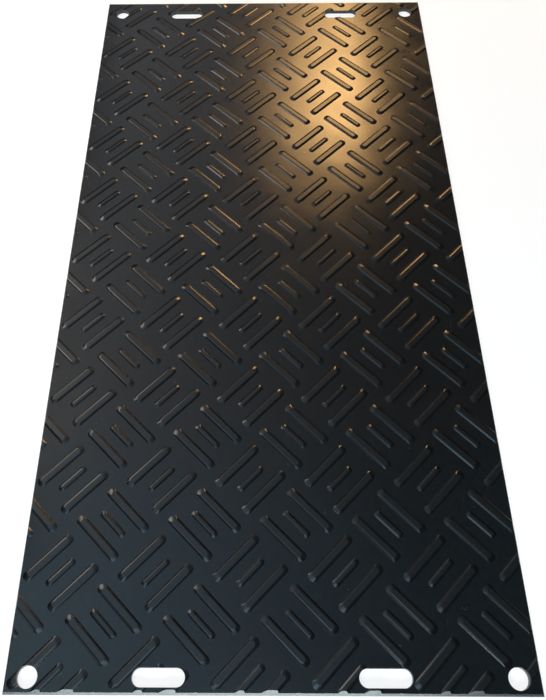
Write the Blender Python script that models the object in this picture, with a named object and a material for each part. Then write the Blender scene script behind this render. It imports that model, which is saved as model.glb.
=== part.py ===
"""Ground protection mat: one pressed sheet of black polyethylene with a raised tread of angled bars,
a round connector hole near each corner and a hand slot on each side of both ends."""

import math

import bmesh
import bpy
from mathutils import Matrix, Vector

# Sheet
SHEET_LENGTH = 2.440
SHEET_WIDTH = 1.220
SHEET_THICKNESS = 0.0127

# Eased edges: the top edge is taken down by one drop all round, further in at the ends than at the sides
TOP_EASE_DROP = 0.0030
END_EASE_RUN = 0.0052
SIDE_EASE_RUN = 0.0018
BOTTOM_EDGE_CHAMFER = 0.0010

# Connector holes, one at each corner, further from the end at the far end than at the near one
HOLE_DIAMETER = 0.048
NEAR_HOLE_TO_SIDE = 0.051
NEAR_HOLE_TO_END = 0.036
FAR_HOLE_TO_SIDE = 0.060
FAR_HOLE_TO_END = 0.067
HOLE_SEGMENTS = 20

# Hand slots, two at each end, nearly in line with the connector holes
SLOT_LENGTH = 0.122
SLOT_WIDTH = 0.040
NEAR_SLOT_TO_SIDE = 0.351
NEAR_SLOT_TO_END = 0.036
FAR_SLOT_TO_SIDE = 0.312
FAR_SLOT_TO_END = 0.073
SLOT_END_SEGMENTS = 10

# Tread: bars in threes, one group leaning each way in every cell of a repeating pattern
PITCH_ACROSS = 0.2312
PITCH_ALONG = 0.2349
FIRST_GROUP_FROM_SIDE = 0.0987
FIRST_GROUP_FROM_END = 0.0593
BAR_SPACING = 0.0496
BAR_LEAN = math.radians(45)
LONG_BAR_LENGTH = 0.147
LONG_BAR_WIDTH = 0.025
LONG_BAR_HEIGHT = 0.0035
LONG_BAR_END_SLOPE = 0.012
LONG_BAR_SEGMENTS = 8
SHORT_BAR_LENGTH = 0.086
SHORT_BAR_WIDTH = 0.018
SHORT_BAR_HEIGHT = 0.003
SHORT_BAR_END_SLOPE = 0.008
SHORT_BAR_SEGMENTS = 6
BAR_SIDE_SLOPE = 0.0040

# How far a shape runs past the one that it joins or cuts
ROOT = 0.001
OVERRUN = 0.010

MAT_COLOUR = (0.012, 0.014, 0.016, 1.0)
MAT_ROUGHNESS = 0.42


def clear_scene():
    """Take away whatever the scene opened with."""
    for thing in list(bpy.data.objects):
        bpy.data.objects.remove(thing, do_unlink=True)


def new_collection(name):
    """A collection of this name, linked to the scene."""
    collection = bpy.data.collections.new(name)
    bpy.context.scene.collection.children.link(collection)
    return collection


def new_object(name, shape, collection):
    """An object that holds the finished bmesh."""
    mesh = bpy.data.meshes.new(name)
    bmesh.ops.recalc_face_normals(shape, faces=shape.faces)
    shape.to_mesh(mesh)
    shape.free()
    thing = bpy.data.objects.new(name, mesh)
    collection.objects.link(thing)
    return thing


def as_cutter(thing):
    """Hide a helper from renders and show it as wires."""
    thing.hide_render = True
    thing.display_type = "WIRE"
    return thing


def polyethylene():
    """Satin black polyethylene."""
    material = bpy.data.materials.new("black_polyethylene")
    material.use_nodes = True
    shader = material.node_tree.nodes["Principled BSDF"]
    shader.inputs["Base Color"].default_value = MAT_COLOUR
    shader.inputs["Roughness"].default_value = MAT_ROUGHNESS
    shader.inputs["Metallic"].default_value = 0.0
    return material


def box_between(shape, low, high):
    """Add a box that spans two opposite corners."""
    low = Vector(low)
    high = Vector(high)
    size = high - low
    place = Matrix.Translation((low + high) / 2) @ Matrix.Diagonal((*size, 1))
    return bmesh.ops.create_cube(shape, size=1, matrix=place)["verts"]


def sheet_blank(collection):
    """The plain sheet before trimming, larger than the mat all round and below."""
    shape = bmesh.new()
    half_width = SHEET_WIDTH / 2 + OVERRUN
    half_length = SHEET_LENGTH / 2 + OVERRUN
    box_between(
        shape,
        (-half_width, -half_length, -OVERRUN),
        (half_width, half_length, SHEET_THICKNESS),
    )
    return new_object("mat_sheet", shape, collection)


def add_bar(shape, length, width, height, end_slope, segments, place):
    """Add one tread bar: a tapered cone cut at its middle and pulled out along its length."""
    corner = 1 / math.cos(math.pi / segments)
    root_share = ROOT / height
    root_half_width = width / 2 + BAR_SIDE_SLOPE * root_share
    root_half_length = length / 2 + end_slope * root_share
    top_half_width = width / 2 - BAR_SIDE_SLOPE
    top_half_length = length / 2 - end_slope
    cone = bmesh.ops.create_cone(
        shape,
        cap_ends=True,
        segments=segments,
        radius1=root_half_width * corner,
        radius2=top_half_width * corner,
        depth=height + ROOT,
        matrix=Matrix.Rotation(math.pi / segments, 4, "Z"),
    )["verts"]
    for vertex in cone:
        half_width = top_half_width if vertex.co.z > 0 else root_half_width
        half_length = top_half_length if vertex.co.z > 0 else root_half_length
        vertex.co.x += math.copysign(half_length - half_width, vertex.co.x)
        vertex.co.z += (height - ROOT) / 2
    bmesh.ops.transform(shape, matrix=place, verts=cone)


def add_group(shape, centre, lean):
    """Add a long, a short and a long bar side by side, all leaning the same way."""
    turn = Matrix.Translation(centre) @ Matrix.Rotation(lean, 4, "Z")
    for row in (-1, 0, 1):
        place = turn @ Matrix.Translation((0, row * BAR_SPACING, 0))
        if row == 0:
            add_bar(
                shape,
                SHORT_BAR_LENGTH,
                SHORT_BAR_WIDTH,
                SHORT_BAR_HEIGHT,
                SHORT_BAR_END_SLOPE,
                SHORT_BAR_SEGMENTS,
                place,
            )
        else:
            add_bar(
                shape,
                LONG_BAR_LENGTH,
                LONG_BAR_WIDTH,
                LONG_BAR_HEIGHT,
                LONG_BAR_END_SLOPE,
                LONG_BAR_SEGMENTS,
                place,
            )


def group_centres():
    """Centre and lean of every group of bars, over the sheet and one cell past its edges.

    The pattern is counted from the far left corner, and the two leans alternate like a
    chequerboard.
    """
    left = -SHEET_WIDTH / 2 + FIRST_GROUP_FROM_SIDE
    far = SHEET_LENGTH / 2 - FIRST_GROUP_FROM_END
    columns = math.ceil(SHEET_WIDTH / PITCH_ACROSS) + 1
    rows = math.ceil(SHEET_LENGTH / PITCH_ALONG) + 1
    for row in range(-1, rows):
        for column in range(-1, columns):
            x = left + column * PITCH_ACROSS
            y = far - row * PITCH_ALONG
            yield Vector((x, y, SHEET_THICKNESS)), BAR_LEAN
            x += PITCH_ACROSS / 2
            y -= PITCH_ALONG / 2
            yield Vector((x, y, SHEET_THICKNESS)), -BAR_LEAN


def tread_bars(collection):
    """Every bar that reaches the sheet, in one object. The trim takes off what overhangs."""
    shape = bmesh.new()
    reach = BAR_SPACING + LONG_BAR_LENGTH / 2
    for centre, lean in group_centres():
        beside = abs(centre.x) - SHEET_WIDTH / 2
        beyond = abs(centre.y) - SHEET_LENGTH / 2
        if max(beside, beyond) < reach:
            add_group(shape, centre, lean)
    return as_cutter(new_object("tread_bars", shape, collection))


def trim_block(collection):
    """The mat's outline as a block with eased edges, whose upper slopes run on past the bars."""
    shape = bmesh.new()
    box_between(
        shape,
        (-SHEET_WIDTH / 2, -SHEET_LENGTH / 2, BOTTOM_EDGE_CHAMFER),
        (SHEET_WIDTH / 2, SHEET_LENGTH / 2, SHEET_THICKNESS - TOP_EASE_DROP),
    )
    rise = OVERRUN / TOP_EASE_DROP
    ease_face(shape, Vector((0, 0, 1)), OVERRUN, SIDE_EASE_RUN * rise, END_EASE_RUN * rise)
    ease_face(
        shape,
        Vector((0, 0, -1)),
        BOTTOM_EDGE_CHAMFER,
        BOTTOM_EDGE_CHAMFER,
        BOTTOM_EDGE_CHAMFER,
    )
    return as_cutter(new_object("trim_block", shape, collection))


def ease_face(shape, direction, distance, inward_x, inward_y):
    """Pull a block's end face out by this distance, and draw its sides and its ends in."""
    face = max(shape.faces, key=lambda each: each.normal.dot(direction))
    pulled = bmesh.ops.extrude_face_region(shape, geom=[face])["geom"]
    bmesh.ops.delete(shape, geom=[face], context="FACES_ONLY")
    for vertex in pulled:
        if isinstance(vertex, bmesh.types.BMVert):
            vertex.co += direction * distance
            vertex.co.x -= math.copysign(inward_x, vertex.co.x)
            vertex.co.y -= math.copysign(inward_y, vertex.co.y)
    bmesh.ops.recalc_face_normals(shape, faces=shape.faces)


def add_stadium(shape, length, width, segments, centre):
    """Add an upright cutter with straight sides and round ends. With no straight part it is round."""
    depth = SHEET_THICKNESS + LONG_BAR_HEIGHT + 2 * OVERRUN
    cylinder = bmesh.ops.create_cone(
        shape,
        cap_ends=True,
        segments=segments,
        radius1=width / 2,
        radius2=width / 2,
        depth=depth,
        matrix=Matrix.Rotation(math.pi / segments, 4, "Z"),
    )["verts"]
    for vertex in cylinder:
        vertex.co.x += math.copysign((length - width) / 2, vertex.co.x)
        vertex.co.z += depth / 2 - OVERRUN
    bmesh.ops.translate(shape, verts=cylinder, vec=centre)


def hole_cutters(collection):
    """The connector holes and the hand slots, the same on the left and the right of the mat."""
    shape = bmesh.new()
    for across in (-1, 1):
        for along, hole_to_side, hole_to_end, slot_to_side, slot_to_end in (
            (-1, NEAR_HOLE_TO_SIDE, NEAR_HOLE_TO_END, NEAR_SLOT_TO_SIDE, NEAR_SLOT_TO_END),
            (1, FAR_HOLE_TO_SIDE, FAR_HOLE_TO_END, FAR_SLOT_TO_SIDE, FAR_SLOT_TO_END),
        ):
            hole_centre = from_corner(across, along, hole_to_side, hole_to_end)
            slot_centre = from_corner(across, along, slot_to_side, slot_to_end)
            add_stadium(shape, HOLE_DIAMETER, HOLE_DIAMETER, HOLE_SEGMENTS, hole_centre)
            add_stadium(shape, SLOT_LENGTH, SLOT_WIDTH, 2 * SLOT_END_SEGMENTS, slot_centre)
    return as_cutter(new_object("hole_cutters", shape, collection))


def from_corner(across, along, to_side, to_end):
    """The point that lies this far in from one side and one end of the mat."""
    return Vector((across * (SHEET_WIDTH / 2 - to_side), along * (SHEET_LENGTH / 2 - to_end), 0))


def add_boolean(thing, operation, other):
    """Give the object an exact Boolean with another object."""
    modifier = thing.modifiers.new(other.name, "BOOLEAN")
    modifier.operation = operation
    modifier.object = other


def ground_mat():
    """The whole mat: sheet and bars in one solid, trimmed to its outline and cut through."""
    parts = new_collection("ground_protection_mat")
    cutters = new_collection("cutters")
    mat = sheet_blank(parts)
    add_boolean(mat, "UNION", tread_bars(cutters))
    add_boolean(mat, "INTERSECT", trim_block(cutters))
    add_boolean(mat, "DIFFERENCE", hole_cutters(cutters))
    mat.data.materials.append(polyethylene())


clear_scene()
ground_mat()
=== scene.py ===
"""Ground protection mat: the pressed sheet with its tread, and a plain studio stage for it."""

import math

import bmesh
import bpy
from bpy.props import FloatProperty, FloatVectorProperty, IntProperty, PointerProperty
from mathutils import Matrix, Vector


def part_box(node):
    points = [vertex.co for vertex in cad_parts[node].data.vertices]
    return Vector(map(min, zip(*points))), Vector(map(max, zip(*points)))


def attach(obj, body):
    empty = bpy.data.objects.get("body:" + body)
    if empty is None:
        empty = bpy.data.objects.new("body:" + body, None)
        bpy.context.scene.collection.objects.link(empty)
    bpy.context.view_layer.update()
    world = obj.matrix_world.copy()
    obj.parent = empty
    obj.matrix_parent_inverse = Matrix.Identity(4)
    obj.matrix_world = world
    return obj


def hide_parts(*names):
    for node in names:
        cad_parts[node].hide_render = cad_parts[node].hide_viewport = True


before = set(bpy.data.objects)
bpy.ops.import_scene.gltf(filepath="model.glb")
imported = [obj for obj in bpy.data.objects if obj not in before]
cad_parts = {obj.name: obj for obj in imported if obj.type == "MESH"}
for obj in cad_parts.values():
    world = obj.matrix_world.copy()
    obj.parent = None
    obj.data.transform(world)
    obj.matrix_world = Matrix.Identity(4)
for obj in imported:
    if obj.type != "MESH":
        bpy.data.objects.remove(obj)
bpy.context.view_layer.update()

bl_info = {
    "name": "Ground Protection Mat",
    "version": (1, 0, 0),
    "blender": (4, 5, 0),
    "location": "View3D > Sidebar > Ground Mat",
    "description": (
        "Builds a pressed ground protection mat with a raised bar tread, "
        "and a studio stage for it"
    ),
    "category": "Object",
}

NODE = "mat_sheet"
LOW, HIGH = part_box(NODE)

# A bar's section, level by level: height as a share of the bar's height, then how far in the level
# lies at the ends and at the long sides, as shares of the end slope and the side slope
BAR_LEVELS = (
    (0.770, 0.700, 0.456),
    (0.800, 0.735, 0.507),
    (0.983, 0.955, 0.934),
    (1.000, 1.000, 1.000),
)
# A bar's side slope takes up no more of its width than this share
SIDE_SLOPE_SHARE = 0.42
# Where a bar meets the sheet: the height and width of its flared foot, and how deep it is rooted
FOOT_HEIGHT = 0.0006
FOOT_FLARE = 0.0008
ROOT_DEPTH = 0.0004

# A hole's rim, step by step: height as a share of its ease, then how far out it lies
RIM_STEPS = ((0.35, 0.1), (0.65, 0.4), (1.0, 1.0))
# Facets of a quarter turn of a hole, and the bevel that makes it as a share of the hole's width,
# a little under half so that its corners don't meet
HOLE_FACETS = 16
HOLE_ROUNDING = 0.499

# How far the blank and the cutters reach past the finished sheet
MARGIN = 0.010
# Faces and edges count as level or upright from this cosine on
STRAIGHT = 0.99
# Finishing: points closer than this are one, edges flatter than this angle are smooth, and the
# larger faces rule the normals beside them with this weight out of 100
MERGE_DISTANCE = 0.00001
SMOOTH_ANGLE = math.radians(44)
AREA_WEIGHT = 100

# Plastic: refractive index, how strongly dirt tints it and dulls it, and how its gloss varies
POLYETHYLENE_IOR = 1.51
SCUFF_TINT, SPECK_TINT, TRODDEN_TINT = 0.30, 0.80, 0.15
SCUFF_DULLING, SPECK_DULLING = 0.14, 0.30
GLOSS_BELOW, GLOSS_ABOVE = 0.025, 0.035
# Bar tops begin to be worn this far below the mat's highest point, and are fully worn here
WORN_FROM, WORN_FULL = 0.0015, 0.0009
# Depths of the bumps
WAVE_DEPTH = 0.0016
MOTTLE_DEPTH = 0.00002
GRAIN_DEPTH = 0.000008
SCUFF_DEPTH = 0.00003
TOOL_MARK_DEPTH = 0.00008

# Floor: its size, and how far it lies below the mat's underside so that the two don't coincide
FLOOR_SIZE = 60
FLOOR_DROP = 0.0004

# The pale rim that gloss sees along the horizon: the heights between which it fades, as the Z of
# a direction, and its brightness
HORIZON_FADE = (0.03, 0.10)
HORIZON_PALE = 0.5

# Soft ceiling: its corners, and its brightness from the right side to the left
CEILING_LOW = (-2.6, -3.6, 2.5)
CEILING_HIGH = (2.0, 5.4, 2.5)
LEFT_RISE = (1.0, -2.2)
LEFT_CURVE = 1.21
LEFT_GAIN = 1.29
RIGHT_LEVEL = 0.155
# Past what the flat sheet mirrors it is dim, but for a part at the near left
PAST_LEFT, PAST_LEFT_LEVEL = (-1.32, -1.55), 0.08
PAST_NEAR, PAST_NEAR_LEVEL = (-1.25, -1.50), 0.15
NEAR_LEFT_ALONG = (-0.2, -0.6)
NEAR_LEFT_ACROSS = (-1.95, -1.8)
# An overhead band past the near end, for the ramps of the bars, in the middle and at the left
OVERHEAD_ALONG = ((-1.1, -1.4), (-2.4, -2.1))
OVERHEAD_ACROSS = ((-1.25, -1.05), (0.6, 0.3))
OVERHEAD_LEFT, OVERHEAD_LEFT_LEVEL = (-2.1, -2.25), 0.30
OVERHEAD_RISE, OVERHEAD_GAIN = (-1.55, -1.75), 2.2
# A brighter strip past that band, for the sides of the bars
STRIP_ALONG = ((-2.05, -2.15), (-2.50, -2.40))
STRIP_LEFT, STRIP_RIGHT, STRIP_LEVEL = (-1.75, -1.6), (-0.2, -0.4), 3.0
# Where the ceiling's colour turns from its near one to its far one
TINT_CHANGE = (-0.5, 0.6)
# Warm patch: its left side, its slanting right side, and its rise and fall towards the far end
WARM_LEFT, WARM_LEFT_CURVE = (-0.15, 0.75), 2.2
WARM_RIGHT = (1.03, 0.88)
WARM_SLANT, WARM_SLANT_REACH = (2.7, 3.7), 0.12
WARM_NEAR, WARM_NEAR_CURVE = (2.35, 3.15), 1.7
WARM_FAR, WARM_FAR_LEVEL = (3.5, 4.2), 0.4

# Soft boxes: name, place, what it looks at, size, brightness and colour
SOFT_BOXES = (
    ("left_window", (-2.1, 1.25, 2.45), (-2.1, 1.25, 0), (0.8, 2.5), 6.0, (1.0, 0.94, 0.86)),
    ("low_left", (-3.0, -2.3, 0.5), (-0.35, -0.9, 0), (1.6, 0.75), 0.9, (0.85, 0.98, 1.0)),
    ("behind_camera", (-0.2, -4.0, 1.6), (0, -1.2, 0), (2.6, 0.9), 20.0, (0.85, 0.98, 1.0)),
)

# The photograph's view, for a frame of 546 x 700: place, turn in degrees, lens and shift
CAMERA_PLACE = (-0.0419, -1.2542, 1.7169)
CAMERA_TURN = (28.243, 0.557, 0.2241)
CAMERA_LENS = 34.76
CAMERA_SHIFT = 0.0384


# Sizes and colours that a user would change


class SheetSizes(bpy.types.PropertyGroup):
    """The plain sheet and its eased edges."""

    length: FloatProperty(
        name="Length",
        description="Length of the mat along Y",
        default=HIGH.y - LOW.y,
        unit="LENGTH",
    )
    width: FloatProperty(
        name="Width",
        description="Width of the mat along X",
        default=HIGH.x - LOW.x,
        unit="LENGTH",
    )
    thickness: FloatProperty(
        name="Thickness",
        description="Thickness of the sheet without its tread",
        default=0.0127,
        unit="LENGTH",
    )
    end_ease_run: FloatProperty(
        name="End ease run",
        description="How far the eased top edge at both ends reaches in from the end",
        default=0.0052,
        unit="LENGTH",
    )
    end_ease_drop: FloatProperty(
        name="End ease drop",
        description="How far the eased top edge at both ends comes down",
        default=0.0030,
        unit="LENGTH",
    )
    side_ease_run: FloatProperty(
        name="Side ease run",
        description="How far the eased top edge at both long sides reaches in from the side",
        default=0.0018,
        unit="LENGTH",
    )
    bottom_ease: FloatProperty(
        name="Bottom ease",
        description="How far the bottom edge is eased all round",
        default=0.001,
        unit="LENGTH",
    )


class HoleSizes(bpy.types.PropertyGroup):
    """Connector holes and hand slots."""

    hole_diameter: FloatProperty(
        name="Hole diameter",
        description="Diameter of the round connector holes",
        default=0.048,
        unit="LENGTH",
    )
    near_hole_to_side: FloatProperty(
        name="Near hole to side",
        description="From the centre of a connector hole at the near end to the side",
        default=0.051,
        unit="LENGTH",
    )
    near_hole_to_end: FloatProperty(
        name="Near hole to end",
        description="From the centre of a connector hole at the near end to that end",
        default=0.036,
        unit="LENGTH",
    )
    far_hole_to_side: FloatProperty(
        name="Far hole to side",
        description="From the centre of a connector hole at the far end to the side",
        default=0.060,
        unit="LENGTH",
    )
    far_hole_to_end: FloatProperty(
        name="Far hole to end",
        description="From the centre of a connector hole at the far end to that end",
        default=0.067,
        unit="LENGTH",
    )
    slot_length: FloatProperty(
        name="Slot length",
        description="Length of a hand slot over its round ends",
        default=0.122,
        unit="LENGTH",
    )
    slot_width: FloatProperty(
        name="Slot width",
        description="Width of a hand slot",
        default=0.040,
        unit="LENGTH",
    )
    near_slot_to_side: FloatProperty(
        name="Near slot to side",
        description="From the centre of a hand slot at the near end to the side",
        default=0.351,
        unit="LENGTH",
    )
    near_slot_to_end: FloatProperty(
        name="Near slot to end",
        description="From the centre of a hand slot at the near end to that end",
        default=0.036,
        unit="LENGTH",
    )
    far_slot_to_side: FloatProperty(
        name="Far slot to side",
        description="From the centre of a hand slot at the far end to the side",
        default=0.312,
        unit="LENGTH",
    )
    far_slot_to_end: FloatProperty(
        name="Far slot to end",
        description="From the centre of a hand slot at the far end to that end",
        default=0.073,
        unit="LENGTH",
    )
    rim_ease: FloatProperty(
        name="Rim ease",
        description="How far the rims of holes and slots are rounded off",
        default=0.0008,
        unit="LENGTH",
    )


class TreadSizes(bpy.types.PropertyGroup):
    """The raised bars and how they repeat."""

    pitch_across: FloatProperty(
        name="Pitch across",
        description="Repeat of the tread across the mat",
        default=0.2312,
        unit="LENGTH",
    )
    pitch_along: FloatProperty(
        name="Pitch along",
        description="Repeat of the tread along the mat",
        default=0.2349,
        unit="LENGTH",
    )
    first_from_side: FloatProperty(
        name="First group from side",
        description="From the left side to the centre of the first group of bars",
        default=0.0987,
        unit="LENGTH",
    )
    first_from_end: FloatProperty(
        name="First group from end",
        description="From the far end to the centre of the first group of bars",
        default=0.0593,
        unit="LENGTH",
    )
    spacing: FloatProperty(
        name="Bar spacing",
        description="Between the centre lines of neighbouring bars in a group",
        default=0.0496,
        unit="LENGTH",
    )
    lean: FloatProperty(
        name="Lean",
        description="Angle of the bars to the width of the mat",
        default=math.radians(45),
        subtype="ANGLE",
    )
    long_length: FloatProperty(
        name="Long bar length",
        description="Length of a long bar at its foot",
        default=0.147,
        unit="LENGTH",
    )
    long_width: FloatProperty(
        name="Long bar width",
        description="Width of a long bar at its foot",
        default=0.025,
        unit="LENGTH",
    )
    long_height: FloatProperty(
        name="Long bar height",
        description="How far a long bar stands out of the sheet",
        default=0.0035,
        unit="LENGTH",
    )
    long_end_slope: FloatProperty(
        name="Long bar end slope",
        description="How far the ramp at each end of a long bar runs down to the sheet",
        default=0.012,
        unit="LENGTH",
    )
    short_length: FloatProperty(
        name="Short bar length",
        description="Length of a short bar at its foot",
        default=0.086,
        unit="LENGTH",
    )
    short_width: FloatProperty(
        name="Short bar width",
        description="Width of a short bar at its foot",
        default=0.018,
        unit="LENGTH",
    )
    short_height: FloatProperty(
        name="Short bar height",
        description="How far a short bar stands out of the sheet",
        default=0.003,
        unit="LENGTH",
    )
    short_end_slope: FloatProperty(
        name="Short bar end slope",
        description="How far the ramp at each end of a short bar runs down to the sheet",
        default=0.008,
        unit="LENGTH",
    )
    side_slope: FloatProperty(
        name="Side slope",
        description="How far the shoulder and side of a bar reach in from its foot",
        default=0.0068,
        unit="LENGTH",
    )
    corner_share: FloatProperty(
        name="Corner share",
        description="Rounding of a bar's corners in plan, as a share of its width",
        default=0.42,
    )
    end_steps: IntProperty(
        name="End steps",
        description="Facets of the rounding at each corner of a bar's end",
        default=5,
        min=2,
    )


# Small helpers for modelling by operators


def deselect_all():
    """Leave nothing selected and nothing active."""
    for thing in bpy.context.selected_objects:
        thing.select_set(False)
    bpy.context.view_layer.objects.active = None


def activate(thing):
    """Make one object the only selected and the active one."""
    deselect_all()
    thing.select_set(True)
    bpy.context.view_layer.objects.active = thing


def add_box(name, low, high):
    """Add a cube primitive that spans two corners, with its size and place in its mesh."""
    deselect_all()
    low = Vector(low)
    high = Vector(high)
    bpy.ops.mesh.primitive_cube_add(size=1, location=(low + high) / 2)
    box = bpy.context.object
    box.name = name
    box.scale = high - low
    bpy.ops.object.transform_apply(location=True, rotation=True, scale=True)
    return box


def pick(thing, kind, wanted):
    """In edit mode, select only the faces or edges for which wanted is true."""
    bpy.ops.mesh.select_mode(type=kind)
    bpy.ops.mesh.select_all(action="DESELECT")
    cage = bmesh.from_edit_mesh(thing.data)
    cage.normal_update()
    elements = cage.faces if kind == "FACE" else cage.edges
    for element in elements:
        element.select_set(wanted(element))
    cage.select_flush_mode()
    bmesh.update_edit_mesh(thing.data)


def faces_up(face):
    """Whether a face looks straight up."""
    return face.normal.z > STRAIGHT


def faces_down(face):
    """Whether a face looks straight down."""
    return face.normal.z < -STRAIGHT


def between_finishes(edge):
    """Whether a pressed face and a cut face meet at an edge."""
    return len({face.material_index for face in edge.link_faces}) > 1


def upright(edge):
    """Whether an edge stands straight up."""
    return abs((edge.verts[0].co - edge.verts[1].co).normalized().z) > STRAIGHT


def apply_boolean(thing, operation, other):
    """Join, keep or cut with another object by an exact Boolean, and take the other away."""
    activate(thing)
    modifier = thing.modifiers.new(operation.title(), "BOOLEAN")
    modifier.operation = operation
    modifier.object = other
    modifier.material_mode = "TRANSFER"
    bpy.ops.object.modifier_apply(modifier=modifier.name)
    bpy.data.objects.remove(other, do_unlink=True)


# The mat


def sheet_blank(sheet):
    """The plain sheet before trimming, larger all round and below."""
    half_width = sheet.width / 2 + MARGIN
    half_length = sheet.length / 2 + MARGIN
    return add_box(
        NODE + "_pressed",
        (-half_width, -half_length, -MARGIN),
        (half_width, half_length, sheet.thickness),
    )


def tread_bar(name, length, width, height, end_slope, tread):
    """One bar at the origin: a rounded box, drawn in level by level, on a flared foot."""
    side_slope = min(tread.side_slope, width * SIDE_SLOPE_SHARE)
    reached = BAR_LEVELS[0][0]
    bar = add_box(
        name,
        (-length / 2, -width / 2, FOOT_HEIGHT),
        (length / 2, width / 2, height * reached),
    )
    bpy.ops.object.mode_set(mode="EDIT")
    pick(bar, "EDGE", upright)
    bpy.ops.mesh.bevel(
        offset=width * tread.corner_share, segments=tread.end_steps, affect="EDGES"
    )
    pick(bar, "FACE", faces_up)
    size = Vector((1, 1))
    for rise, end_share, side_share in BAR_LEVELS:
        if rise > reached:
            bpy.ops.mesh.extrude_region_move(
                TRANSFORM_OT_translate={"value": (0, 0, height * (rise - reached))}
            )
        wanted = Vector(
            (1 - 2 * end_share * end_slope / length, 1 - 2 * side_share * side_slope / width)
        )
        bpy.ops.transform.resize(
            value=(wanted.x / size.x, wanted.y / size.y, 1), center_override=(0, 0, 0)
        )
        size, reached = wanted, rise
    pick(bar, "FACE", faces_down)
    reach = FOOT_FLARE * (1 + ROOT_DEPTH / FOOT_HEIGHT)
    bpy.ops.mesh.extrude_region_move(
        TRANSFORM_OT_translate={"value": (0, 0, -FOOT_HEIGHT - ROOT_DEPTH)}
    )
    bpy.ops.transform.resize(
        value=(1 + 2 * reach / length, 1 + 2 * reach / width, 1),
        center_override=(0, 0, -ROOT_DEPTH),
    )
    bpy.ops.mesh.select_all(action="SELECT")
    bpy.ops.mesh.normals_make_consistent(inside=False)
    bpy.ops.object.mode_set(mode="OBJECT")
    return bar


def place_copy(bar, offset, lean, centre):
    """A copy of a bar with its own mesh, moved sideways in its group, turned and set down."""
    copy = bar.copy()
    copy.data = bar.data.copy()
    bpy.context.scene.collection.objects.link(copy)
    turn = Matrix.Translation(centre) @ Matrix.Rotation(lean, 4, "Z")
    copy.data.transform(turn @ Matrix.Translation((0, offset, 0)))
    return copy


def tread_group(long_bar, short_bar, tread, lean, centre):
    """A long, a short and a long bar side by side, joined in one object."""
    bars = [
        place_copy(long_bar, -tread.spacing, lean, centre),
        place_copy(short_bar, 0, lean, centre),
        place_copy(long_bar, tread.spacing, lean, centre),
    ]
    deselect_all()
    for bar in bars:
        bar.select_set(True)
    bpy.context.view_layer.objects.active = bars[0]
    bpy.ops.object.join()
    return bars[0]


def repeat(group, count, offset):
    """Repeat an object in one direction by an Array modifier, and apply it."""
    activate(group)
    array = group.modifiers.new("Repeat", "ARRAY")
    array.count = count
    array.use_relative_offset = False
    array.use_constant_offset = True
    array.constant_offset_displace = offset
    bpy.ops.object.modifier_apply(modifier=array.name)


def tread_field(sheet, tread):
    """Every bar of the tread, over the whole sheet and a little past its outline."""
    long_bar = tread_bar(
        "long_bar",
        tread.long_length,
        tread.long_width,
        tread.long_height,
        tread.long_end_slope,
        tread,
    )
    short_bar = tread_bar(
        "short_bar",
        tread.short_length,
        tread.short_width,
        tread.short_height,
        tread.short_end_slope,
        tread,
    )
    first = Vector(
        (
            -sheet.width / 2 + tread.first_from_side,
            sheet.length / 2 - tread.first_from_end,
            sheet.thickness,
        )
    )
    step = Vector((tread.pitch_across, -tread.pitch_along, 0))
    fields = []
    for lean, start in ((tread.lean, first), (-tread.lean, first - step / 2)):
        group = tread_group(long_bar, short_bar, tread, lean, start)
        repeat(group, math.ceil(sheet.width / tread.pitch_across) + 1, (step.x, 0, 0))
        repeat(group, math.ceil(sheet.length / tread.pitch_along) + 1, (0, step.y, 0))
        fields.append(group)
    for bar in (long_bar, short_bar):
        bpy.data.objects.remove(bar, do_unlink=True)
    deselect_all()
    for field in fields:
        field.select_set(True)
    bpy.context.view_layer.objects.active = fields[0]
    bpy.ops.object.join()
    return fields[0]


def outline_block(sheet):
    """The mat's outline with eased edges, whose upper slope runs on past the bars."""
    block = add_box(
        "outline",
        (-sheet.width / 2, -sheet.length / 2, sheet.bottom_ease),
        (sheet.width / 2, sheet.length / 2, sheet.thickness - sheet.end_ease_drop),
    )
    side_rate = sheet.side_ease_run / sheet.end_ease_drop
    end_rate = sheet.end_ease_run / sheet.end_ease_drop
    bpy.ops.object.mode_set(mode="EDIT")
    for faces, rise, inward_x, inward_y in (
        (faces_up, MARGIN, side_rate * MARGIN, end_rate * MARGIN),
        (faces_down, -sheet.bottom_ease, sheet.bottom_ease, sheet.bottom_ease),
    ):
        pick(block, "FACE", faces)
        bpy.ops.mesh.extrude_region_move(TRANSFORM_OT_translate={"value": (0, 0, rise)})
        bpy.ops.transform.resize(
            value=(1 - 2 * inward_x / sheet.width, 1 - 2 * inward_y / sheet.length, 1),
            center_override=(0, 0, 0),
        )
    bpy.ops.mesh.select_all(action="SELECT")
    bpy.ops.mesh.normals_make_consistent(inside=False)
    bpy.ops.object.mode_set(mode="OBJECT")
    return block


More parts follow.
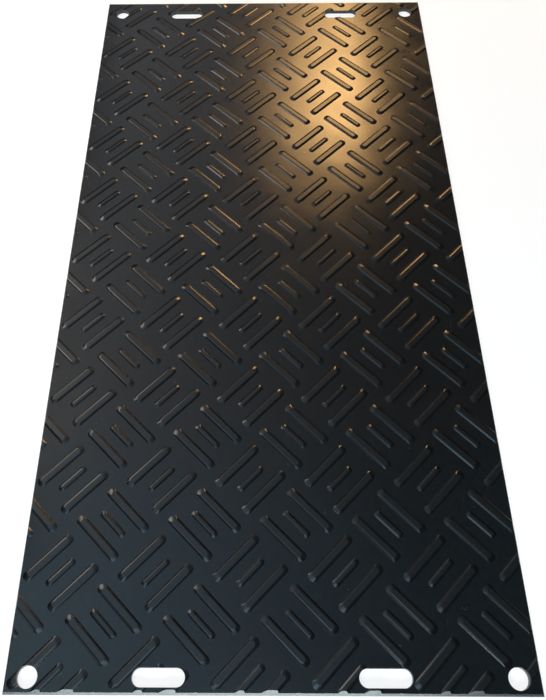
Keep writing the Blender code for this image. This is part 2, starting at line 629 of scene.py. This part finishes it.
def hole_cutter(name, length, width, centre, sheet, holes):
    """A cutter with half-round ends and flared rims, which is round when as long as wide."""
    low = Vector((centre.x - length / 2, centre.y - width / 2, holes.rim_ease))
    high = Vector((centre.x + length / 2, centre.y + width / 2, sheet.thickness - holes.rim_ease))
    cutter = add_box(name, low, high)
    bpy.ops.object.mode_set(mode="EDIT")
    pick(cutter, "EDGE", upright)
    bpy.ops.mesh.bevel(offset=width * HOLE_ROUNDING, segments=HOLE_FACETS, affect="EDGES")
    for faces, level, way in ((faces_up, high.z, 1), (faces_down, low.z, -1)):
        reach = 0
        for rise, spread in RIM_STEPS:
            pick(cutter, "FACE", faces)
            bpy.ops.mesh.extrude_region_move(
                TRANSFORM_OT_translate={"value": (0, 0, way * (rise - reach) * holes.rim_ease)}
            )
            reach = rise
            grow_to(cutter, faces, length, width, spread * holes.rim_ease, centre)
        pick(cutter, "FACE", faces)
        bpy.ops.mesh.extrude_region_move(TRANSFORM_OT_translate={"value": (0, 0, way * MARGIN)})
    bpy.ops.mesh.select_all(action="SELECT")
    bpy.ops.mesh.normals_make_consistent(inside=False)
    bpy.ops.object.mode_set(mode="OBJECT")
    return cutter


def grow_to(cutter, faces, length, width, extra, centre):
    """Scale the picked end face so that its outline lies this much outside the plain hole."""
    cage = bmesh.from_edit_mesh(cutter.data)
    points = [vertex.co for face in cage.faces if faces(face) for vertex in face.verts]
    now_x = max(point.x for point in points) - min(point.x for point in points)
    now_y = max(point.y for point in points) - min(point.y for point in points)
    bpy.ops.transform.resize(
        value=((length + 2 * extra) / now_x, (width + 2 * extra) / now_y, 1),
        center_override=(centre.x, centre.y, 0),
    )


def from_corner(sheet, across, along, to_side, to_end):
    """The point that lies this far in from one side and one end of the mat."""
    return Vector((across * (sheet.width / 2 - to_side), along * (sheet.length / 2 - to_end), 0))


def all_cutters(sheet, holes):
    """Every connector hole and hand slot, joined in one cutter."""
    round_hole = ("connector_hole", holes.hole_diameter, holes.hole_diameter)
    slot = ("hand_slot", holes.slot_length, holes.slot_width)
    cutters = []
    for along, shape, to_side, to_end in (
        (-1, round_hole, holes.near_hole_to_side, holes.near_hole_to_end),
        (-1, slot, holes.near_slot_to_side, holes.near_slot_to_end),
        (1, round_hole, holes.far_hole_to_side, holes.far_hole_to_end),
        (1, slot, holes.far_slot_to_side, holes.far_slot_to_end),
    ):
        for across in (-1, 1):
            centre = from_corner(sheet, across, along, to_side, to_end)
            cutters.append(hole_cutter(*shape, centre, sheet, holes))
    deselect_all()
    for cutter in cutters:
        cutter.select_set(True)
    bpy.context.view_layer.objects.active = cutters[0]
    bpy.ops.object.join()
    return cutters[0]


def finish_surface(mat):
    """Clean the mesh and shade it, with the flat faces ruling the normals next to them."""
    activate(mat)
    bpy.ops.object.mode_set(mode="EDIT")
    bpy.ops.mesh.select_all(action="SELECT")
    bpy.ops.mesh.remove_doubles(threshold=MERGE_DISTANCE)
    bpy.ops.mesh.normals_make_consistent(inside=False)
    bpy.ops.object.mode_set(mode="OBJECT")
    bpy.ops.object.shade_smooth_by_angle(angle=SMOOTH_ANGLE)
    bpy.ops.object.mode_set(mode="EDIT")
    pick(mat, "EDGE", between_finishes)
    bpy.ops.mesh.mark_sharp()
    bpy.ops.object.mode_set(mode="OBJECT")
    weighted = mat.modifiers.new("Weighted", "WEIGHTED_NORMAL")
    weighted.mode = "FACE_AREA"
    weighted.weight = AREA_WEIGHT
    weighted.keep_sharp = True
    bpy.ops.object.modifier_apply(modifier=weighted.name)


def build_mat(scene, pressed, sawn):
    """Press, trim and pierce the mat, with one finish for pressed faces and one for cut ones."""
    sheet = scene.mat_sheet_sizes
    mat = sheet_blank(sheet)
    field = tread_field(sheet, scene.mat_tread_sizes)
    outline = outline_block(sheet)
    cutters = all_cutters(sheet, scene.mat_hole_sizes)
    for piece, finish in ((mat, pressed), (field, pressed), (outline, sawn), (cutters, sawn)):
        piece.data.materials.clear()
        piece.data.materials.append(finish)
    apply_boolean(mat, "UNION", field)
    apply_boolean(mat, "INTERSECT", outline)
    apply_boolean(mat, "DIFFERENCE", cutters)
    finish_surface(mat)
    return mat


# Materials


def new_material(name):
    """A node material, its tree and its Principled shader."""
    material = bpy.data.materials.new(name)
    material.use_nodes = True
    tree = material.node_tree
    return material, tree, tree.nodes["Principled BSDF"]


def add_node(tree, kind, links=None, **settings):
    """Add a node, set its properties, and fill sockets with links or values."""
    node = tree.nodes.new(kind)
    for name, value in settings.items():
        setattr(node, name, value)
    for socket, source in (links or {}).items():
        if isinstance(source, bpy.types.NodeSocket):
            tree.links.new(source, node.inputs[socket])
        else:
            node.inputs[socket].default_value = source
    return node


def object_place(tree, stretch=(1, 1, 1)):
    """Object coordinates in metres, stretched per axis."""
    coordinates = add_node(tree, "ShaderNodeTexCoord")
    mapping = add_node(
        tree, "ShaderNodeMapping", {"Vector": coordinates.outputs["Object"], "Scale": stretch}
    )
    return mapping.outputs["Vector"]


def noise(tree, place, scale, detail=3.0, roughness=0.5):
    """Noise of this many cells per metre."""
    node = add_node(
        tree,
        "ShaderNodeTexNoise",
        {"Vector": place, "Scale": scale, "Detail": detail, "Roughness": roughness},
    )
    return node.outputs["Fac"]


def remap(tree, value, from_low, from_high, to_low, to_high):
    """Map a value from one range to another, held at both ends."""
    node = add_node(
        tree,
        "ShaderNodeMapRange",
        {
            "Value": value,
            "From Min": from_low,
            "From Max": from_high,
            "To Min": to_low,
            "To Max": to_high,
        },
    )
    return node.outputs["Result"]


def combine(tree, operation, first, second):
    """One arithmetic step on two values."""
    node = add_node(tree, "ShaderNodeMath", {0: first, 1: second}, operation=operation)
    return node.outputs["Value"]


def blend_colours(tree, factor, first, second):
    """Mix two colours by a factor."""
    node = add_node(tree, "ShaderNodeMix", {0: factor, 6: first, 7: second}, data_type="RGBA")
    return node.outputs[2]


def bumped(tree, height, depth, under=None):
    """A bump normal from a height of 0 to 1 that stands this many metres deep."""
    links = {"Height": height, "Distance": depth, "Strength": 1.0}
    if under is not None:
        links["Normal"] = under
    return add_node(tree, "ShaderNodeBump", links).outputs["Normal"]


def worn_tops(tree):
    """1 on the flat tops of the bars, where feet and tyres have dulled them, and 0 elsewhere."""
    coordinates = add_node(tree, "ShaderNodeTexCoord")
    place = add_node(tree, "ShaderNodeSeparateXYZ", {0: coordinates.outputs["Object"]})
    facing = add_node(tree, "ShaderNodeSeparateXYZ", {0: coordinates.outputs["Normal"]})
    raised = remap(
        tree, place.outputs["Z"], HIGH.z - WORN_FROM, HIGH.z - WORN_FULL, 0.0, 1.0
    )
    level = remap(tree, facing.outputs["Z"], 0.970, 0.995, 0.0, 1.0)
    return combine(tree, "MULTIPLY", raised, level)


def pressed_polyethylene(look):
    """Satin black polyethylene from the press, with slight waves, fine grain, scuffs and dust."""
    material, tree, shader = new_material("pressed_polyethylene")
    place = object_place(tree)
    worn = worn_tops(tree)
    along, across = object_place(tree, (1.0, 0.06, 1.0)), object_place(tree, (0.05, 1.0, 1.0))
    cloud = noise(tree, place, 5.0, detail=4.0, roughness=0.55)
    grain = noise(tree, place, 900.0, detail=2.0)
    mottle = noise(tree, place, 60.0)
    wave = noise(tree, place, 6.0, detail=1.0)
    drag = noise(tree, along, 190.0, detail=4.0, roughness=0.65)
    drag_across = noise(tree, across, 150.0, detail=4.0, roughness=0.65)
    streaks = combine(
        tree,
        "MAXIMUM",
        remap(tree, drag, 0.66, 0.76, 0.0, 1.0),
        remap(tree, drag_across, 0.68, 0.78, 0.0, 0.8),
    )
    scuffs = combine(tree, "MULTIPLY", streaks, remap(tree, cloud, 0.42, 0.62, 0.0, 1.0))
    specks = add_node(
        tree, "ShaderNodeTexVoronoi", {"Vector": place, "Scale": 130.0, "Randomness": 1.0}
    )
    speck_size = noise(tree, place, 37.0, detail=1.0)
    speck = combine(
        tree,
        "LESS_THAN",
        specks.outputs["Distance"],
        remap(tree, speck_size, 0.60, 0.75, 0.0, 0.11),
    )
    clean = blend_colours(
        tree, remap(tree, mottle, 0.3, 0.7, 0.0, 1.0), (*look.plastic, 1), (*look.plastic_lift, 1)
    )
    colour = clean
    for dirt, tint, dirt_colour in (
        (scuffs, SCUFF_TINT, look.scuff),
        (speck, SPECK_TINT, look.dust),
        (worn, TRODDEN_TINT, look.trodden),
    ):
        share = combine(tree, "MULTIPLY", dirt, tint)
        colour = blend_colours(tree, share, colour, (*dirt_colour, 1))
    tree.links.new(colour, shader.inputs["Base Color"])
    dull = remap(
        tree, cloud, 0.3, 0.7, look.roughness - GLOSS_BELOW, look.roughness + GLOSS_ABOVE
    )
    for dirt, dulling in (
        (scuffs, SCUFF_DULLING),
        (speck, SPECK_DULLING),
        (worn, look.top_wear),
    ):
        dull = combine(tree, "ADD", dull, combine(tree, "MULTIPLY", dirt, dulling))
    tree.links.new(dull, shader.inputs["Roughness"])
    waves = bumped(tree, wave, WAVE_DEPTH)
    uneven = bumped(tree, mottle, MOTTLE_DEPTH, waves)
    grained = bumped(tree, grain, GRAIN_DEPTH, uneven)
    tree.links.new(bumped(tree, scuffs, -SCUFF_DEPTH, grained), shader.inputs["Normal"])
    shader.inputs["IOR"].default_value = POLYETHYLENE_IOR
    return material


def sawn_polyethylene(look):
    """Cut faces of the same plastic: duller and a little paler, with fine upright tool marks."""
    material, tree, shader = new_material("sawn_polyethylene")
    place = object_place(tree, (1.0, 1.0, 0.03))
    marks = noise(tree, place, 420.0, roughness=0.6)
    broad = noise(tree, place, 45.0)
    rubbed = noise(tree, object_place(tree), 30.0, detail=4.0, roughness=0.6)
    tone = combine(tree, "MULTIPLY", remap(tree, marks, 0.35, 0.70, 0.0, 0.6), broad)
    tone = combine(tree, "ADD", tone, remap(tree, rubbed, 0.55, 0.75, 0.0, 0.4))
    colour = blend_colours(tree, tone, (*look.cut, 1), (*look.cut_lift, 1))
    tree.links.new(colour, shader.inputs["Base Color"])
    tree.links.new(remap(tree, marks, 0.3, 0.7, 0.24, 0.38), shader.inputs["Roughness"])
    tree.links.new(bumped(tree, marks, TOOL_MARK_DEPTH), shader.inputs["Normal"])
    shader.inputs["IOR"].default_value = POLYETHYLENE_IOR
    return material


# Stage


def linked_object(name, data):
    """A new object for some data, in the scene."""
    thing = bpy.data.objects.new(name, data)
    bpy.context.scene.collection.objects.link(thing)
    return thing


def soft_box(name, place, aim, size, radiance, colour):
    """A rectangular soft light that looks at a point and shows this radiance in a mirror."""
    data = bpy.data.lights.new(name, "AREA")
    data.shape = "RECTANGLE"
    data.size, data.size_y = size
    data.energy = radiance * math.pi * size[0] * size[1]
    data.color = colour
    lamp = linked_object(name, data)
    lamp.location = place
    lamp.rotation_euler = (Vector(aim) - Vector(place)).to_track_quat("-Z", "Y").to_euler()
    return lamp


def backdrop_factor(tree):
    """1 for the rays that should see the white backdrop: camera, glossy and transmission rays."""
    path = add_node(tree, "ShaderNodeLightPath")
    direct = combine(
        tree, "MAXIMUM", path.outputs["Is Camera Ray"], path.outputs["Is Transmission Ray"]
    )
    return path, combine(tree, "MAXIMUM", direct, path.outputs["Is Glossy Ray"])


def pale_floor(look):
    """A plain pale floor that reads near white and keeps the mat's shadow."""
    material, tree, shader = new_material("pale_floor")
    output = tree.nodes["Material Output"]
    tree.nodes.remove(shader)
    matt = add_node(tree, "ShaderNodeBsdfDiffuse", {"Color": (*look.floor, 1)})
    glow = add_node(
        tree, "ShaderNodeEmission", {"Color": (1, 1, 1, 1), "Strength": look.floor_glow}
    )
    both = add_node(tree, "ShaderNodeAddShader", {0: matt.outputs[0], 1: glow.outputs[0]})
    seen = backdrop_factor(tree)[1]
    mix = add_node(
        tree, "ShaderNodeMixShader", {0: seen, 1: matt.outputs[0], 2: both.outputs[0]}
    )
    tree.links.new(mix.outputs[0], output.inputs["Surface"])
    return material


def studio_world(look):
    """A dim studio room with a backdrop, white to the camera and pale low down in gloss."""
    world = bpy.data.worlds.new("studio")
    world.use_nodes = True
    tree = world.node_tree
    tree.nodes.clear()
    direction = add_node(tree, "ShaderNodeTexCoord").outputs["Generated"]
    height = add_node(tree, "ShaderNodeSeparateXYZ", {0: direction}).outputs["Z"]
    low = remap(tree, height, *HORIZON_FADE, HORIZON_PALE, 0.0)
    path, seen = backdrop_factor(tree)
    camera = path.outputs["Is Camera Ray"]
    white = combine(tree, "MAXIMUM", camera, combine(tree, "MULTIPLY", seen, low))
    room = add_node(tree, "ShaderNodeBackground", {"Color": (*look.room, 1), "Strength": 1.0})
    back = add_node(tree, "ShaderNodeBackground", {"Color": (1, 1, 1, 1), "Strength": 1.0})
    mix = add_node(
        tree, "ShaderNodeMixShader", {0: white, 1: room.outputs[0], 2: back.outputs[0]}
    )
    output = add_node(tree, "ShaderNodeOutputWorld")
    tree.links.new(mix.outputs[0], output.inputs["Surface"])
    return world


def fade(tree, value, low, high, power=1.0):
    """0 before one place, 1 after the other, and a curve between them."""
    return combine(tree, "POWER", remap(tree, value, low, high, 0.0, 1.0), power)


def between(tree, value, first, last):
    """1 between two soft edges and 0 outside them."""
    return combine(tree, "MULTIPLY", fade(tree, value, *first), fade(tree, value, *last))


def ceiling_shade(tree, x, y):
    """How bright the ceiling is for the flat sheet, and past its near end for the bars."""
    leftward = combine(tree, "MULTIPLY", fade(tree, x, *LEFT_RISE, LEFT_CURVE), LEFT_GAIN)
    shade = combine(tree, "ADD", leftward, RIGHT_LEVEL)
    near_left = combine(
        tree, "MULTIPLY", fade(tree, y, *NEAR_LEFT_ALONG), fade(tree, x, *NEAR_LEFT_ACROSS)
    )
    beside = remap(tree, x, *PAST_LEFT, 1.0, PAST_LEFT_LEVEL)
    shade = combine(tree, "MULTIPLY", shade, combine(tree, "MAXIMUM", beside, near_left))
    shade = combine(tree, "MULTIPLY", shade, remap(tree, y, *PAST_NEAR, 1.0, PAST_NEAR_LEVEL))
    overhead = between(tree, y, *OVERHEAD_ALONG)
    middle = between(tree, x, *OVERHEAD_ACROSS)
    left = remap(tree, x, *OVERHEAD_LEFT, 0.0, OVERHEAD_LEFT_LEVEL)
    overhead = combine(tree, "MULTIPLY", overhead, combine(tree, "MAXIMUM", middle, left))
    rising = remap(tree, y, *OVERHEAD_RISE, 1.0, OVERHEAD_GAIN)
    overhead = combine(tree, "MULTIPLY", overhead, rising)
    strip = combine(tree, "MULTIPLY", between(tree, y, *STRIP_ALONG), fade(tree, x, *STRIP_LEFT))
    strip = combine(tree, "MULTIPLY", strip, remap(tree, x, *STRIP_RIGHT, 0.0, STRIP_LEVEL))
    return combine(tree, "MAXIMUM", shade, combine(tree, "MAXIMUM", overhead, strip))


def warm_patch(tree, x, y):
    """How bright the warm patch is, which the far right of the sheet mirrors."""
    slanted = combine(tree, "ADD", x, remap(tree, y, *WARM_SLANT, WARM_SLANT_REACH, 0.0))
    left = fade(tree, x, *WARM_LEFT, WARM_LEFT_CURVE)
    patch = combine(tree, "MULTIPLY", left, fade(tree, slanted, *WARM_RIGHT))
    patch = combine(tree, "MULTIPLY", patch, fade(tree, y, *WARM_NEAR, WARM_NEAR_CURVE))
    return combine(tree, "MULTIPLY", patch, remap(tree, y, *WARM_FAR, 1.0, WARM_FAR_LEVEL))


def soft_ceiling(look):
    """A large soft ceiling that the sheet mirrors: brighter on the left, warm at the far right."""
    deselect_all()
    low, high = Vector(CEILING_LOW), Vector(CEILING_HIGH)
    bpy.ops.mesh.primitive_plane_add(size=1, location=(low + high) / 2)
    ceiling = bpy.context.object
    ceiling.name = "soft_ceiling"
    ceiling.scale = (high.x - low.x, high.y - low.y, 1)
    bpy.ops.object.transform_apply(location=True, rotation=True, scale=True)
    ceiling.visible_camera = False
    material, tree, shader = new_material("soft_ceiling")
    output = tree.nodes["Material Output"]
    tree.nodes.remove(shader)
    split = add_node(tree, "ShaderNodeSeparateXYZ", {0: object_place(tree)})
    x, y = split.outputs["X"], split.outputs["Y"]
    near, far = (*look.ceiling_near, 1), (*look.ceiling_far, 1)
    tint = blend_colours(tree, fade(tree, y, *TINT_CHANGE), near, far)
    strength = combine(tree, "MULTIPLY", ceiling_shade(tree, x, y), look.ceiling_strength)
    plain = add_node(tree, "ShaderNodeEmission", {"Color": tint, "Strength": strength})
    strength = combine(tree, "MULTIPLY", warm_patch(tree, x, y), look.warm_strength)
    warm = add_node(tree, "ShaderNodeEmission", {"Color": (*look.warm, 1), "Strength": strength})
    both = add_node(tree, "ShaderNodeAddShader", {0: plain.outputs[0], 1: warm.outputs[0]})
    tree.links.new(both.outputs[0], output.inputs["Surface"])
    ceiling.data.materials.append(material)
    return ceiling


def light_stage(scene):
    """Floor, ceiling, world and lights."""
    look = scene.mat_look
    deselect_all()
    bpy.ops.mesh.primitive_plane_add(size=FLOOR_SIZE, location=(0, 0, -FLOOR_DROP))
    floor = bpy.context.object
    floor.name = "floor"
    bpy.ops.object.transform_apply(location=True, rotation=True, scale=True)
    floor.data.materials.append(pale_floor(look))
    soft_ceiling(look)
    scene.world = studio_world(look)
    for box in SOFT_BOXES:
        soft_box(*box)


def aim_camera(scene):
    """The photograph's view: its place, turn, lens and small sideways shift."""
    data = bpy.data.cameras.new("camera")
    camera = linked_object("camera", data)
    data.lens = CAMERA_LENS
    data.shift_x = CAMERA_SHIFT
    camera.location = CAMERA_PLACE
    camera.rotation_euler = [math.radians(angle) for angle in CAMERA_TURN]
    scene.camera = camera
    scene.view_settings.view_transform = "Standard"


class StudioLook(bpy.types.PropertyGroup):
    """Colours of the plastic, the dirt on it and the studio."""

    plastic: FloatVectorProperty(
        name="Plastic",
        description="Colour of the pressed polyethylene",
        default=(0.0034, 0.0038, 0.0043),
        subtype="COLOR",
        min=0,
        max=1,
    )
    plastic_lift: FloatVectorProperty(
        name="Plastic, paler",
        description="Paler tone that the pressed polyethylene mottles to",
        default=(0.0056, 0.0062, 0.0068),
        subtype="COLOR",
        min=0,
        max=1,
    )
    scuff: FloatVectorProperty(
        name="Scuffs",
        description="Colour of fine scuffs",
        default=(0.055, 0.058, 0.060),
        subtype="COLOR",
        min=0,
        max=1,
    )
    dust: FloatVectorProperty(
        name="Dust",
        description="Colour of dust specks",
        default=(0.20, 0.185, 0.16),
        subtype="COLOR",
        min=0,
        max=1,
    )
    trodden: FloatVectorProperty(
        name="Trodden tops",
        description="Colour of the dirt that feet and tyres leave on the tops of the bars",
        default=(0.020, 0.016, 0.013),
        subtype="COLOR",
        min=0,
        max=1,
    )
    cut: FloatVectorProperty(
        name="Cut faces",
        description="Colour of the cut faces",
        default=(0.022, 0.024, 0.026),
        subtype="COLOR",
        min=0,
        max=1,
    )
    cut_lift: FloatVectorProperty(
        name="Cut faces, paler",
        description="Colour of the tool marks on the cut faces",
        default=(0.10, 0.11, 0.115),
        subtype="COLOR",
        min=0,
        max=1,
    )
    roughness: FloatProperty(
        name="Roughness",
        description="Middle roughness of the pressed faces",
        default=0.20,
        min=0,
        max=1,
    )
    top_wear: FloatProperty(
        name="Top wear",
        description="How much rougher the worn tops of the bars are",
        default=0.10,
        min=0,
        max=1,
    )
    floor: FloatVectorProperty(
        name="Floor",
        description="Colour of the floor",
        default=(0.30, 0.30, 0.30),
        subtype="COLOR",
        min=0,
        max=1,
    )
    floor_glow: FloatProperty(
        name="Floor glow",
        description="How bright the floor is by itself to the camera, where 1 is white",
        default=0.80,
        min=0,
    )
    room: FloatVectorProperty(
        name="Room",
        description="Dim light from all round",
        default=(0.035, 0.040, 0.045),
        subtype="COLOR",
        min=0,
        max=1,
    )
    ceiling_near: FloatVectorProperty(
        name="Ceiling, near end",
        description="Colour of the soft ceiling over the near end",
        default=(0.48, 0.70, 0.88),
        subtype="COLOR",
        min=0,
        max=1,
    )
    ceiling_far: FloatVectorProperty(
        name="Ceiling, far end",
        description="Colour of the soft ceiling over the far end",
        default=(0.54, 0.56, 0.60),
        subtype="COLOR",
        min=0,
        max=1,
    )
    ceiling_strength: FloatProperty(
        name="Ceiling strength",
        description="Brightness of the soft ceiling",
        default=1.48,
        min=0,
    )
    warm: FloatVectorProperty(
        name="Warm patch",
        description="Colour of the ceiling's warm patch",
        default=(1.0, 0.58, 0.22),
        subtype="COLOR",
        min=0,
        max=1,
    )
    warm_strength: FloatProperty(
        name="Warm patch strength",
        description="Brightness of the warm patch at its brightest",
        default=37.0,
        min=0,
    )


class MAT_OT_sheet(bpy.types.Operator):
    """Model the pressed sheet with its tread, holes and slots"""

    bl_idname = "ground_mat.sheet"
    bl_label = "Pressed Sheet"

    def execute(self, context):
        look = context.scene.mat_look
        mat = build_mat(context.scene, pressed_polyethylene(look), sawn_polyethylene(look))
        mat.name = "pressed_mat"
        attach(mat, "root")
        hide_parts(NODE)
        return {"FINISHED"}


class MAT_OT_stage(bpy.types.Operator):
    """Set up the floor, the lights, the world and the camera"""

    bl_idname = "ground_mat.stage"
    bl_label = "Studio Stage"

    def execute(self, context):
        light_stage(context.scene)
        aim_camera(context.scene)
        return {"FINISHED"}


class MAT_PT_panel(bpy.types.Panel):
    """Lists the pieces that the add-on builds"""

    bl_idname = "MAT_PT_panel"
    bl_label = "Ground Mat"
    bl_space_type = "VIEW_3D"
    bl_region_type = "UI"
    bl_category = "Ground Mat"

    def draw(self, context):
        self.layout.operator(MAT_OT_sheet.bl_idname)
        self.layout.operator(MAT_OT_stage.bl_idname)


CLASSES = (SheetSizes, HoleSizes, TreadSizes, StudioLook, MAT_OT_sheet, MAT_OT_stage, MAT_PT_panel)
GROUPS = {
    "mat_sheet_sizes": SheetSizes,
    "mat_hole_sizes": HoleSizes,
    "mat_tread_sizes": TreadSizes,
    "mat_look": StudioLook,
}


def register():
    """Register the classes and hang the sizes on the scene."""
    for each in CLASSES:
        bpy.utils.register_class(each)
    for name, group in GROUPS.items():
        setattr(bpy.types.Scene, name, PointerProperty(type=group))


def unregister():
    """Take the sizes and the classes away again."""
    for name in GROUPS:
        delattr(bpy.types.Scene, name)
    for each in reversed(CLASSES):
        bpy.utils.unregister_class(each)


def main():
    """Build every piece and the stage."""
    register()
    bpy.ops.ground_mat.sheet()
    bpy.ops.ground_mat.stage()


if __name__ == "__main__":
    main()
